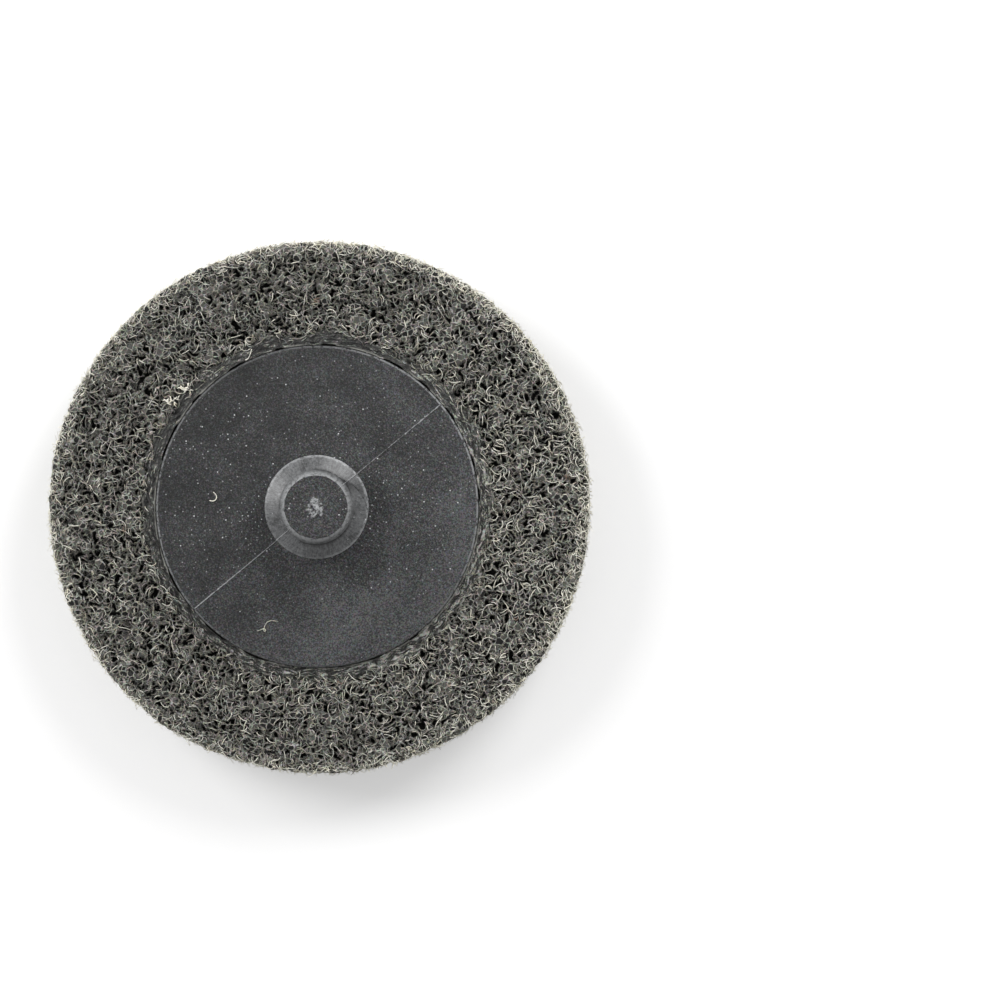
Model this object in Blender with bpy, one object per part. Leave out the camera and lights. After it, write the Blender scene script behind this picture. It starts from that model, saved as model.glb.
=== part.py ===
# Surface conditioning disc, 2 inch, with a roll-on hub
# It lies on its working face with the threaded stud up.
# Lengths are in metres. The origin is the centre of the working face, and +Z runs up the stud.

import math

import bmesh
import bpy
from mathutils import Vector, noise

MM = 0.001

# Fit between neighbouring pieces
CLEARANCE = 0.3 * MM

# Fibre web
WEB_DIAMETER = 50.8 * MM
WEB_THICKNESS = 6.5 * MM
WEB_EDGE_CHAMFER = 0.5 * MM
WEB_EDGE_WANDER = 0.15 * MM
WEB_EDGE_LOBES = 2.0
WEB_FACET = 0.95 * MM
PIT_DEPTH = 0.5 * MM
PIT_SPACING = 1.3 * MM
PIT_FULL_LEVEL = 0.35
SEAT_DEPTH = 1.6 * MM
SEAT_FACET = 3.0 * MM
CENTRE_LAND_RADIUS = 1.2 * MM

# Hub flange
FLANGE_DIAMETER = 30.4 * MM
FLANGE_THICKNESS = 1.2 * MM
FLANGE_EDGE_ROUND = 0.3 * MM

# Hub stud
STUD_DIAMETER = 6.9 * MM
STUD_HEIGHT = 6.0 * MM
STUD_BASE_FILLET = 0.5 * MM
STUD_TIP_DIAMETER = 6.0 * MM
STUD_TIP_CHAMFER_HEIGHT = 0.5 * MM
GATE_MARK_DIAMETER = 1.7 * MM
GATE_MARK_HEIGHT = 0.15 * MM

# Right-hand thread, with its start at the tip
THREAD_DIAMETER = 9.8 * MM
THREAD_PITCH = 2.2 * MM
THREAD_TURNS = 1.4
THREAD_CREST_WIDTH = 0.5 * MM
THREAD_ROOT_WIDTH = 2.0 * MM
THREAD_START_ANGLE = math.radians(90)
THREAD_RUN_IN = math.radians(75)
THREAD_RUN_OUT = math.radians(50)

# Adhesive bed and the bead squeezed out round the flange
GLUE_FLOOR_THICKNESS = 0.4 * MM
BEAD_WIDTH = 1.0 * MM
BEAD_WANDER = 0.4 * MM
BEAD_TOP_ROUND = 0.3 * MM
BEAD_LOBES = 5.0
BEAD_FINE_LOBES = 13.5
BEAD_FINE_SHARE = 0.5
BEAD_PROUD = 0.1 * MM

HUB_STEPS = 80
STUD_ROW_HEIGHT = 0.22 * MM
GLUE_STEPS = 96
ARC_STEPS = 3
MERGE_DISTANCE = 0.001 * MM
SHARP_ANGLE = math.radians(40)
WEB_SHARP_ANGLE = math.radians(25)

# Levels up the stack
SEAT_FLOOR = WEB_THICKNESS - SEAT_DEPTH
GLUE_BOTTOM = SEAT_FLOOR + CLEARANCE
GLUE_FLOOR = GLUE_BOTTOM + GLUE_FLOOR_THICKNESS
BEAD_TOP = WEB_THICKNESS + BEAD_PROUD
FLANGE_BOTTOM = GLUE_FLOOR + CLEARANCE
FLANGE_TOP = FLANGE_BOTTOM + FLANGE_THICKNESS
STUD_TOP = FLANGE_TOP + STUD_HEIGHT
BEAD_INNER_RADIUS = FLANGE_DIAMETER / 2 + CLEARANCE


def clear_scene():
    for obj in list(bpy.data.objects):
        bpy.data.objects.remove(obj, do_unlink=True)


def make_material(name, colour, roughness):
    material = bpy.data.materials.new(name)
    material.use_nodes = True
    shader = material.node_tree.nodes["Principled BSDF"]
    shader.inputs["Base Color"].default_value = (*colour, 1.0)
    shader.inputs["Roughness"].default_value = roughness
    shader.inputs["Metallic"].default_value = 0.0
    return material


def add_object(name, mesh, material, sharp_angle):
    data = bpy.data.meshes.new(name)
    mesh.to_mesh(data)
    mesh.free()
    data.materials.append(material)
    data.shade_smooth()
    data.set_sharp_from_angle(angle=sharp_angle)
    obj = bpy.data.objects.new(name, data)
    bpy.context.scene.collection.objects.link(obj)
    return obj


def smooth_step(value):
    share = min(max(value, 0.0), 1.0)
    return share * share * (3 - 2 * share)


def arc(centre, radius, start_degrees, end_degrees):
    """Points of a round corner, as (distance from the axis, height)."""
    points = []
    for step in range(ARC_STEPS + 1):
        angle = math.radians(start_degrees + (end_degrees - start_degrees) * step / ARC_STEPS)
        points.append((centre[0] + radius * math.cos(angle), centre[1] + radius * math.sin(angle)))
    return points


def turned(profile, steps):
    """A closed solid of revolution, from an outline that starts and ends on the axis."""
    mesh = bmesh.new()
    verts = [mesh.verts.new((radius, 0, height)) for radius, height in profile]
    edges = [mesh.edges.new(pair) for pair in zip(verts, verts[1:])]
    bmesh.ops.spin(
        mesh,
        geom=verts + edges,
        cent=(0, 0, 0),
        axis=(0, 0, 1),
        angle=math.tau,
        steps=steps,
        use_merge=True,
    )
    bmesh.ops.remove_doubles(mesh, verts=mesh.verts, dist=MERGE_DISTANCE)
    bmesh.ops.recalc_face_normals(mesh, faces=mesh.faces)
    return mesh


def angle_of(point):
    return math.atan2(point.y, point.x)


def move_out(vert, radius):
    """Puts a vertex at this distance from the axis, at its own angle and height."""
    angle = angle_of(vert.co)
    vert.co.x = radius * math.cos(angle)
    vert.co.y = radius * math.sin(angle)


# Hub: flange and threaded stud, moulded as one piece


def thread_rise(angle, height):
    """How far the thread stands out of the stud at this angle and height above the flange."""
    turns_down = ((THREAD_START_ANGLE - angle) / math.tau) % 1.0
    first_centre = STUD_HEIGHT - STUD_TIP_CHAMFER_HEIGHT - THREAD_ROOT_WIDTH / 2
    depth = (THREAD_DIAMETER - STUD_DIAMETER) / 2
    flank = (THREAD_ROOT_WIDTH - THREAD_CREST_WIDTH) / 2
    rise = 0.0
    while turns_down < THREAD_TURNS:
        off_centre = abs(height - first_centre + turns_down * THREAD_PITCH)
        section = min(max((THREAD_ROOT_WIDTH / 2 - off_centre) / flank, 0.0), 1.0)
        run_in = smooth_step(turns_down * math.tau / THREAD_RUN_IN)
        run_out = smooth_step((THREAD_TURNS - turns_down) * math.tau / THREAD_RUN_OUT)
        rise = max(rise, depth * section * run_in * run_out)
        turns_down += 1.0
    return rise


def hub_profile():
    flange_radius = FLANGE_DIAMETER / 2
    stud_radius = STUD_DIAMETER / 2
    inner = flange_radius - FLANGE_EDGE_ROUND
    wall_bottom = FLANGE_TOP + STUD_BASE_FILLET
    wall_top = STUD_TOP - STUD_TIP_CHAMFER_HEIGHT
    rows = max(2, round((wall_top - wall_bottom) / STUD_ROW_HEIGHT))
    profile = [(0, FLANGE_BOTTOM)]
    profile += arc((inner, FLANGE_BOTTOM + FLANGE_EDGE_ROUND), FLANGE_EDGE_ROUND, -90, 0)
    profile += arc((inner, FLANGE_TOP - FLANGE_EDGE_ROUND), FLANGE_EDGE_ROUND, 0, 90)
    profile += arc((stud_radius + STUD_BASE_FILLET, wall_bottom), STUD_BASE_FILLET, 270, 180)
    for row in range(1, rows + 1):
        profile.append((stud_radius, wall_bottom + (wall_top - wall_bottom) * row / rows))
    profile.append((STUD_TIP_DIAMETER / 2, STUD_TOP))
    profile.append((GATE_MARK_DIAMETER / 2, STUD_TOP))
    profile.append((GATE_MARK_DIAMETER / 2 - GATE_MARK_HEIGHT, STUD_TOP + GATE_MARK_HEIGHT))
    profile.append((0, STUD_TOP + GATE_MARK_HEIGHT))
    return profile


def make_hub(material):
    mesh = turned(hub_profile(), HUB_STEPS)
    stud_radius = STUD_DIAMETER / 2
    for vert in mesh.verts:
        if abs(vert.co.xy.length - stud_radius) < MERGE_DISTANCE:
            rise = thread_rise(angle_of(vert.co), vert.co.z - FLANGE_TOP)
            move_out(vert, stud_radius + rise)
    return add_object("hub", mesh, material, SHARP_ANGLE)


# Adhesive: a thin bed under the flange, with a ragged bead round it


def bead_outer_radius(angle):
    """The bead's outline, which wanders as squeezed-out glue does."""
    around = Vector((math.cos(angle), math.sin(angle), 0))
    ragged = noise.noise(around * BEAD_LOBES)
    ragged += BEAD_FINE_SHARE * noise.noise(around * BEAD_FINE_LOBES)
    return BEAD_INNER_RADIUS + BEAD_WIDTH + BEAD_WANDER * ragged


def glue_profile():
    """The bed's section, with its bead drawn at the plain width."""
    outer = BEAD_INNER_RADIUS + BEAD_WIDTH
    round_centre = BEAD_TOP - BEAD_TOP_ROUND
    profile = [(0, GLUE_BOTTOM), (BEAD_INNER_RADIUS, GLUE_BOTTOM), (outer, GLUE_BOTTOM)]
    profile += arc((outer - BEAD_TOP_ROUND, round_centre), BEAD_TOP_ROUND, 0, 90)
    profile += arc((BEAD_INNER_RADIUS + BEAD_TOP_ROUND, round_centre), BEAD_TOP_ROUND, 90, 180)
    profile += [(BEAD_INNER_RADIUS, GLUE_FLOOR), (0, GLUE_FLOOR)]
    return profile


def make_glue_bed(material):
    mesh = turned(glue_profile(), GLUE_STEPS)
    for vert in mesh.verts:
        out = vert.co.xy.length - BEAD_INNER_RADIUS
        if out > MERGE_DISTANCE:
            width = bead_outer_radius(angle_of(vert.co)) - BEAD_INNER_RADIUS
            move_out(vert, BEAD_INNER_RADIUS + out * width / BEAD_WIDTH)
    return add_object("glue_bed", mesh, material, SHARP_ANGLE)


# Web: a lofty non-woven disc with open pits, and a seat pressed into its back for the glue


def seat_radius(angle):
    return bead_outer_radius(angle) + CLEARANCE


def web_radius(angle):
    """The die-cut outline, which is slightly out of round."""
    around = Vector((math.cos(angle), math.sin(angle), 1)) * WEB_EDGE_LOBES
    return WEB_DIAMETER / 2 + WEB_EDGE_WANDER * noise.noise(around)


def centre_land(angle):
    """The flat spot in the middle of both faces, which is round."""
    return CENTRE_LAND_RADIUS


def pit(point):
    """0 on the web's flat lands and up to 1 in the middle of an open pit."""
    return smooth_step(noise.noise(point / PIT_SPACING) / PIT_FULL_LEVEL)


def ring_turn(index):
    """Every other ring is turned by half a facet, so that the triangles between them are even."""
    return 0.5 * (index % 2)


def add_ring(mesh, station, turn):
    """A ring of vertices about a facet apart, from its outline, its height and its facet."""
    radius_at, height, facet = station
    count = max(8, round(math.tau * radius_at(0.0) / facet))
    ring = []
    for step in range(count):
        angle = math.tau * (step + turn) / count
        radius = radius_at(angle)
        ring.append(mesh.verts.new((radius * math.cos(angle), radius * math.sin(angle), height)))
    return ring


def stitch(mesh, inner, outer, inner_turn, outer_turn):
    """Joins two rings of different counts with a band of triangles, by going round both at once."""
    done_inner = done_outer = 0
    while done_inner < len(inner) or done_outer < len(outer):
        inner_vert = inner[done_inner % len(inner)]
        outer_vert = outer[done_outer % len(outer)]
        next_inner = (done_inner + 1 + inner_turn) / len(inner)
        next_outer = (done_outer + 1 + outer_turn) / len(outer)
        if done_outer == len(outer) or (done_inner < len(inner) and next_inner <= next_outer):
            done_inner += 1
            mesh.faces.new((inner_vert, inner[done_inner % len(inner)], outer_vert))
        else:
            done_outer += 1
            mesh.faces.new((inner_vert, outer[done_outer % len(outer)], outer_vert))


def cap(mesh, ring, height):
    centre = mesh.verts.new((0, 0, height))
    for first, second in zip(ring, ring[1:] + ring[:1]):
        mesh.faces.new((first, second, centre))


def outlines_between(inner_at, outer_at, facet):
    """Radius functions spaced evenly between two outlines, without the two themselves."""
    gaps = max(1, round((outer_at(0.0) - inner_at(0.0)) / facet))
    shares = [step / gaps for step in range(1, gaps)]
    return [lambda angle, s=share: inner_at(angle) * (1 - s) + outer_at(angle) * s for share in shares]


def flat_edge(angle):
    """Where the web's faces turn down into its rim."""
    return web_radius(angle) - WEB_EDGE_CHAMFER


def web_stations():
    """The web's rings, from the middle of its working face round to the middle of its seat."""
    bottom = [centre_land] + outlines_between(centre_land, flat_edge, WEB_FACET) + [flat_edge]
    rim_height = WEB_THICKNESS - 2 * WEB_EDGE_CHAMFER
    rim_rows = max(2, round(rim_height / WEB_FACET))
    top = [flat_edge] + outlines_between(seat_radius, flat_edge, WEB_FACET)[::-1] + [seat_radius]
    floor = outlines_between(centre_land, seat_radius, SEAT_FACET)[::-1] + [centre_land]
    stations = [(outline, 0, WEB_FACET) for outline in bottom]
    for row in range(rim_rows + 1):
        stations.append((web_radius, WEB_EDGE_CHAMFER + rim_height * row / rim_rows, WEB_FACET))
    stations += [(outline, WEB_THICKNESS, WEB_FACET) for outline in top]
    stations.append((seat_radius, SEAT_FLOOR, WEB_FACET))
    stations += [(outline, SEAT_FLOOR, SEAT_FACET) for outline in floor]
    return stations


def open_pits(mesh):
    """Sinks the pits into the two faces and the rim, and leaves the seat and its border alone."""
    rim = WEB_DIAMETER / 2 - WEB_EDGE_CHAMFER - WEB_EDGE_WANDER
    for vert in mesh.verts:
        radius = vert.co.xy.length
        sink = PIT_DEPTH * pit(vert.co)
        near_seat = radius - seat_radius(angle_of(vert.co))
        if vert.co.z < MERGE_DISTANCE:
            vert.co.z += sink * smooth_step(radius / CENTRE_LAND_RADIUS - 1)
        elif radius > rim and vert.co.z < WEB_THICKNESS - MERGE_DISTANCE:
            move_out(vert, radius - sink)
        elif vert.co.z > WEB_THICKNESS - MERGE_DISTANCE:
            vert.co.z -= sink * smooth_step(near_seat / WEB_FACET)


def make_web(material):
    mesh = bmesh.new()
    rings = [add_ring(mesh, station, ring_turn(i)) for i, station in enumerate(web_stations())]
    cap(mesh, rings[0], 0)
    for i in range(len(rings) - 1):
        stitch(mesh, rings[i], rings[i + 1], ring_turn(i), ring_turn(i + 1))
    cap(mesh, rings[-1], SEAT_FLOOR)
    bmesh.ops.recalc_face_normals(mesh, faces=mesh.faces)
    open_pits(mesh)
    return add_object("abrasive_web", mesh, material, WEB_SHARP_ANGLE)


def main():
    clear_scene()
    web_material = make_material("grey_fibre_web", (0.095, 0.095, 0.09), 0.9)
    glue_material = make_material("dark_adhesive", (0.035, 0.033, 0.03), 0.4)
    hub_material = make_material("black_nylon", (0.062, 0.063, 0.066), 0.55)
    make_web(web_material)
    make_glue_bed(glue_material)
    make_hub(hub_material)


main()
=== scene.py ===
import math
import random

import bmesh
import bpy
from mathutils import Matrix, Vector, kdtree, noise
from mathutils.geometry import interpolate_bezier


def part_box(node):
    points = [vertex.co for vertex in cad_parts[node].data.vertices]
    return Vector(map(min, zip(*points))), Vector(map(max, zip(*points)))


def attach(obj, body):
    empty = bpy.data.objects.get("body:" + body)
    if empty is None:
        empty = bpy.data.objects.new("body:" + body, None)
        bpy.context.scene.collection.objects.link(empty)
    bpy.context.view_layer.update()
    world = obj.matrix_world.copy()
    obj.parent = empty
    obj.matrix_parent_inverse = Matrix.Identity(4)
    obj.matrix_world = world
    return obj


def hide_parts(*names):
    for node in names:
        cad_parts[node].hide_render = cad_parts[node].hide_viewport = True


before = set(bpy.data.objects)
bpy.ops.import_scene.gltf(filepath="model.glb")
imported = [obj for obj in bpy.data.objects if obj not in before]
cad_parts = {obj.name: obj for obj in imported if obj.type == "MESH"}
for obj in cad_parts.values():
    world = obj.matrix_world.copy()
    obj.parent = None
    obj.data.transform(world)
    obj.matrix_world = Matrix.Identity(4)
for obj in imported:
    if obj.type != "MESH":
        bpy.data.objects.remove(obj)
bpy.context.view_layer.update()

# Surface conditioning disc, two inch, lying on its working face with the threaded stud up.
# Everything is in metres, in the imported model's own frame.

mm = 0.001
slack = 0.001 * mm  # how near two measures have to be to count as the same
webLow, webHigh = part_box("abrasive_web")
glueLow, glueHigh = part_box("glue_bed")
hubLow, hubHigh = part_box("hub")


# Shader maths written as Python

class Value:  # one output socket; maths on it adds Math nodes
    def __init__(self, look, socket):
        self.look = look
        self.socket = socket

    def maths(self, operation, first, second=0.0):
        return self.look.node("ShaderNodeMath", {"operation": operation}, {0: first, 1: second})

    def __add__(self, other):
        return self.maths("ADD", self, other)

    def __radd__(self, other):
        return self.maths("ADD", other, self)

    def __sub__(self, other):
        return self.maths("SUBTRACT", self, other)

    def __rsub__(self, other):
        return self.maths("SUBTRACT", other, self)

    def __mul__(self, other):
        return self.maths("MULTIPLY", self, other)

    def __rmul__(self, other):
        return self.maths("MULTIPLY", other, self)

    def __truediv__(self, other):
        return self.maths("DIVIDE", self, other)

    def __rtruediv__(self, other):
        return self.maths("DIVIDE", other, self)

    def size(self):
        return self.maths("ABSOLUTE", self)


class Look:  # one material with a Principled shader
    def __init__(self, name, **constants):
        self.material = bpy.data.materials.new(name)
        self.material.use_nodes = True
        self.tree = self.material.node_tree
        self.shader = self.tree.nodes["Principled BSDF"]
        for socket, value in constants.items():
            self.shader.inputs[socket].default_value = value

    def node(self, kind, settings=None, inputs=None, output=0):
        made = self.tree.nodes.new(kind)
        for key, value in (settings or {}).items():
            if key == "stops":
                ramp = made.color_ramp
                while len(ramp.elements) < len(value):
                    ramp.elements.new(1.0)
                for element, (place, colour) in zip(ramp.elements, value):
                    element.position = place
                    element.color = (*colour, 1.0)
            else:
                setattr(made, key, value)
        for key, value in (inputs or {}).items():
            if isinstance(value, Value):
                self.tree.links.new(value.socket, made.inputs[key])
            else:
                made.inputs[key].default_value = value
        return Value(self, made.outputs[output])

    def place(self):
        return self.node("ShaderNodeTexCoord", output="Object")

    def cloud(self, place, scale=1.0, detail=2.0, roughness=0.5, output=0):
        inputs = {"Vector": place, "Scale": scale, "Detail": detail, "Roughness": roughness}
        return self.node("ShaderNodeTexNoise", inputs=inputs, output=output)

    def grain(self, spacing, detail=2.0, roughness=0.5):  # noise whose lumps are about spacing apart
        return self.cloud(self.place(), 1 / spacing, detail, roughness)

    def ramp(self, value, stops):
        return self.node("ShaderNodeValToRGB", {"stops": stops}, {"Fac": value})

    def blend(self, share, first, second, how="MIX"):
        settings = {"data_type": "RGBA", "blend_type": how}
        return self.node("ShaderNodeMix", settings, {0: share, 6: first, 7: second}, output=2)

    def step(self, value, low, high):  # 0 below low, 1 above high, smooth between
        settings = {"interpolation_type": "SMOOTHSTEP"}
        return self.node("ShaderNodeMapRange", settings, {0: value, 1: low, 2: high, 3: 0.0, 4: 1.0})

    def vector(self, operation, first, second=(0.0, 0.0, 0.0), scale=1.0):
        inputs = {0: first, 1: second, 3: scale}
        return self.node("ShaderNodeVectorMath", {"operation": operation}, inputs)

    def wobbled(self, spacing, amount):  # object coordinates, shaken so that straight patterns curl
        shake = self.cloud(self.place(), 1 / spacing, detail=1.0, output="Color")
        centred = self.vector("SUBTRACT", shake, (0.5, 0.5, 0.5))
        return self.vector("ADD", self.place(), self.vector("SCALE", centred, scale=amount))

    def cells(self, place, spacing, feature, output):
        inputs = {"Vector": place, "Scale": 1 / spacing}
        return self.node("ShaderNodeTexVoronoi", {"feature": feature}, inputs, output)

    def mottled(self, colour, amount):  # small flecks of slightly different hue
        flecks = self.cells(self.place(), 0.13 * mm, "F1", "Color")
        return self.blend(amount, colour, flecks, "OVERLAY")

    def flat(self):
        return self.vector("MULTIPLY", self.place(), (1.0, 1.0, 0.0))

    def radius(self):  # distance from the disc's axis
        return self.node("ShaderNodeVectorMath", {"operation": "LENGTH"}, {0: self.flat()}, output="Value")

    def drawn(self, turns, radius, spacing):  # coordinates for grain that is drawn out round the axis
        ray = self.vector("NORMALIZE", self.flat())
        deep = self.node("ShaderNodeCombineXYZ", inputs={2: radius * (1 / spacing)})
        return self.vector("ADD", self.vector("SCALE", ray, scale=turns), deep)

    def along(self, axis):
        return self.node("ShaderNodeSeparateXYZ", inputs={0: self.place()}, output=axis)

    def attribute(self, name):
        return self.node("ShaderNodeAttribute", {"attribute_name": name}, output="Fac")

    def feed(self, socket, value):
        self.tree.links.new(value.socket, self.shader.inputs[socket])

    def bump(self, height, distance, strength=1.0):
        inputs = {"Height": height, "Distance": distance, "Strength": strength}
        self.feed("Normal", self.node("ShaderNodeBump", inputs=inputs))


def grey(level, tint=(1.0, 1.0, 1.0)):  # a colour from its level as seen on screen, 0 to 255
    return tuple((level * share / 255) ** 2.2 for share in tint)


def paint(level, tint):
    return (*grey(level, tint), 1.0)


webTint = (1.01, 1.0, 0.945)
tanTint = (1.05, 1.0, 0.90)
glueTint = (1.0, 1.0, 0.955)
hubTint = (0.99, 1.0, 1.01)
rust = (0.30, 0.13, 0.07, 1.0)


def filmLook():
    look = Look("bonded_film", **{"Roughness": 0.6, "Specular IOR Level": 0.4})
    spot = look.wobbled(0.45 * mm, 0.25 * mm)
    wall = look.cells(spot, web["cellSpacing"], "DISTANCE_TO_EDGE", "Distance")
    mood = look.cells(spot, web["cellSpacing"], "F1", "Color")
    strut = 1 - look.step(wall, 0.03, 0.10)
    airy = mood + (look.grain(1.6 * mm, 1.0) - 0.5) * 0.7
    burst = look.step(wall, 0.10, 0.15) * look.step(airy, 0.42, 0.45)  # painted shade: small holes in the film, painted near black
    stops = [(0.30, grey(56, webTint)), (0.5, grey(80, webTint)), (0.70, grey(106, webTint))]
    film = look.ramp(look.grain(0.35 * mm, 3.0) * 0.7 + look.grain(0.08 * mm, 1.0) * 0.3, stops)
    paler = look.ramp(look.grain(0.4 * mm, 3.0), [(0.35, grey(100, webTint)), (0.65, grey(188, webTint))])
    film = look.blend(strut, film, paler)
    fray = look.step(look.radius(), webRadius - 1.2 * mm, webRadius)  # a little paler towards the rim
    film = look.blend(fray, film, (1.05, 1.05, 1.0, 1.0), "MULTIPLY")
    film = look.mottled(film, 0.15)
    # painted shade: near black in the small holes and where the film breaks open
    holeShade = paint(20, webTint)
    edge = web["holeEdge"] / mm
    hole = look.step(look.attribute("hole"), edge - 0.02, edge + 0.02)
    film = look.blend(burst, film, holeShade)
    look.feed("Base Color", look.blend(hole, film, holeShade))
    look.bump(strut - burst + 0.2 * look.grain(0.09 * mm, 3.0), 0.1 * mm, 0.8)
    return look.material


def fibreLook():
    look = Look("coated_fibre", **{"Roughness": 0.55, "Specular IOR Level": 0.4})
    tone = look.attribute("tone") + (look.grain(0.25 * mm, 2.0) - 0.5) * 0.6
    tone = tone + (look.grain(0.08 * mm, 1.0) - 0.5) * 0.5  # the grit that coats each fibre
    stops = [
        (0.0, grey(58, webTint)),
        (0.35, grey(108, webTint)),
        (0.65, grey(168, webTint)),
        (0.95, grey(248, webTint)),
    ]
    colour = look.ramp(tone, stops)
    tan = look.step(look.grain(0.9 * mm, 1.0), 0.52, 0.66)
    colour = look.mottled(look.blend(tan * 0.6, colour, (*tanTint, 1.0), "MULTIPLY"), 0.15)
    rusty = look.step(look.cells(look.place(), 0.7 * mm, "F1", "Color"), 0.94, 0.95)  # a few stray grains
    look.feed("Base Color", look.blend(rusty * 0.5, colour, rust))
    look.bump(look.grain(0.05 * mm, 2.0), 0.02 * mm, 0.5)
    return look.material


def glueLook():
    look = Look("dark_glue", **{"Specular IOR Level": 0.5})
    radius = look.radius()
    drawn = look.drawn(16.0, radius + (look.grain(1.2 * mm, 1.0) - 0.5) * 0.9 * mm, 0.19 * mm)
    streaks = look.cloud(drawn, detail=4.0, roughness=0.6)
    blotch = look.grain(0.9 * mm, 4.0, 0.6)
    gritty = look.grain(0.16 * mm, 3.0, 0.6)
    stops = [
        (0.42, grey(16, glueTint)),
        (0.47, grey(50, glueTint)),
        (0.535, grey(84, glueTint)),
        (0.59, grey(180, glueTint)),
    ]
    # painted light and shade: paler towards plus x, darker towards plus y
    paintedSideLight = look.along(0) * 1.7 - look.along(1) * 1.6
    shade = streaks * 0.55 + gritty * 0.3 + blotch * 0.15 + paintedSideLight
    colour = look.mottled(look.ramp(shade, stops), 0.15)
    seam = look.cloud(look.vector("MULTIPLY", drawn, (0.35, 0.35, 0.4)), detail=3.0)
    foldShade = 1 - look.step((seam - 0.5).size(), 0.006, 0.022)  # painted shade: dark lines in the folds of the glue
    colour = look.blend(foldShade * 0.85, colour, paint(16, glueTint))
    torn = look.attribute("lip") * look.step(look.grain(1.3 * mm, 3.0), 0.44, 0.60)  # its pale torn edge
    colour = look.blend(torn * 0.75, colour, paint(128, glueTint))
    # painted highlight: a pale line along the ridge at the glue's inner edge, broken up by noise
    rim = look.step(radius, flangeRadius + 0.02 * mm, flangeRadius + 0.12 * mm)
    rim = rim * (1 - look.step(radius, flangeRadius + 0.16 * mm, flangeRadius + 0.24 * mm))
    rimHighlight = rim * look.step(look.grain(3.0 * mm, 2.0), 0.42, 0.56)
    look.feed("Base Color", look.blend(rimHighlight * 0.8, colour, paint(130, glueTint)))
    look.feed("Roughness", 0.30 + 0.35 * blotch)
    look.bump(streaks + gritty - foldShade, 0.12 * mm, 0.9)
    return look.material


def nylonLook():
    look = Look("moulded_nylon", **{"Specular IOR Level": 0.45})
    speckle = look.grain(0.15 * mm, 3.0, 0.75)
    clouds = look.grain(4.0 * mm, 3.0)
    paintedSideLight = look.along(0) * 2.9 - look.along(1) * 2.8  # painted light and shade: paler towards plus x, darker towards plus y
    shade = speckle * 0.8 + clouds * 0.2 + paintedSideLight
    stops = [(0.37, grey(20, hubTint)), (0.5, grey(55, hubTint)), (0.63, grey(99, hubTint))]
    base = look.mottled(look.ramp(shade, stops), 0.2)
    onStud = look.step(look.along(2), flangeTop + 0.2 * mm, flangeTop + 0.5 * mm)
    smooth = onStud * (1 - look.step(look.along(2), studTop - 0.03 * mm, studTop - 0.01 * mm))
    scratch = look.cloud(look.drawn(50.0, look.radius(), 0.5 * mm))
    scuffed = look.grain(0.2 * mm, 4.0, 0.7) * 0.45 + scratch * 0.3 + look.grain(1.1 * mm, 2.0) * 0.25
    scuff = look.ramp(scuffed, [(0.40, grey(66, hubTint)), (0.60, grey(126, hubTint))])
    base = look.blend(smooth * 0.85, base, scuff)
    # painted shade: dark along the thread's foot and under the turn above it
    base = look.blend(look.attribute("grime") * 0.85, base, paint(26, hubTint))
    # painted highlight together with wear: pale edges on the flange, the tip's chamfer and the crest
    edge = look.attribute("wear") * look.step(look.grain(0.3 * mm, 3.0), 0.34, 0.52)
    base = look.blend(edge * 0.85, base, paint(162, hubTint))
    # the dust lies thicker at both sides and near the stud
    sideways = look.along(0) / look.radius()
    upward = look.along(1) / look.radius()
    dusty = look.step(look.grain(7.0 * mm, 1.0), 0.35, 0.65) * 0.15 - look.radius() * 26
    dusty = dusty + sideways * sideways * 0.36 + upward * 0.06 - onStud * 0.3
    for spacing, level, offset in ((0.43 * mm, 155, 0.02), (0.58 * mm, 225, -0.10)):  # pale specks of dust
        near = look.cells(look.place(), spacing, "F1", "Distance")
        glint = 1 - look.step(near, 0.04 * mm / spacing, 0.08 * mm / spacing)
        chosen = look.step(look.cells(look.place(), spacing, "F1", "Color") + dusty + offset, 0.59, 0.61)
        base = look.blend(glint * chosen, base, paint(level, hubTint))
    torn = look.attribute("torn") + 1.0 * (speckle - 0.5) + 1.2 * (look.grain(0.4 * mm, 2.0) - 0.5)
    pale = look.step(torn, 0.3, 0.8)
    base = look.blend(pale * 0.85, base, paint(178, hubTint))
    look.feed("Base Color", base)
    look.feed("Roughness", 0.40 + 0.18 * speckle - 0.14 * smooth)
    look.bump(speckle * (1.2 - smooth), 0.06 * mm, 0.9)
    return look.material


# Meshes

def finish(mesh, name, material):  # a bmesh becomes a piece that rides with the disc
    data = bpy.data.meshes.new(name)
    mesh.to_mesh(data)
    mesh.free()
    data.materials.append(material)
    data.shade_smooth()
    piece = bpy.data.objects.new(name, data)
    bpy.context.scene.collection.objects.link(piece)
    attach(piece, "root")
    return piece


def turned(profile, steps):  # a bmesh from (radius, height) points, spun round the disc's axis
    mesh = bmesh.new()
    verts = [mesh.verts.new((radius, 0, height)) for radius, height in profile]
    edges = [mesh.edges.new(pair) for pair in zip(verts, verts[1:])]
    bmesh.ops.spin(
        mesh,
        geom=verts + edges,
        cent=(0, 0, 0),
        axis=(0, 0, 1),
        angle=math.tau,
        steps=steps,
        use_merge=True,
    )
    bmesh.ops.remove_doubles(mesh, verts=mesh.verts, dist=slack)
    bmesh.ops.recalc_face_normals(mesh, faces=mesh.faces)
    return mesh


def smoothStep(value):
    share = min(max(value, 0.0), 1.0)
    return share * share * (3 - 2 * share)


def around(angle, radius, height):
    return Vector((radius * math.cos(angle), radius * math.sin(angle), height))


# Web: the outline and the surfaces that its fibres lie on

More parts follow.
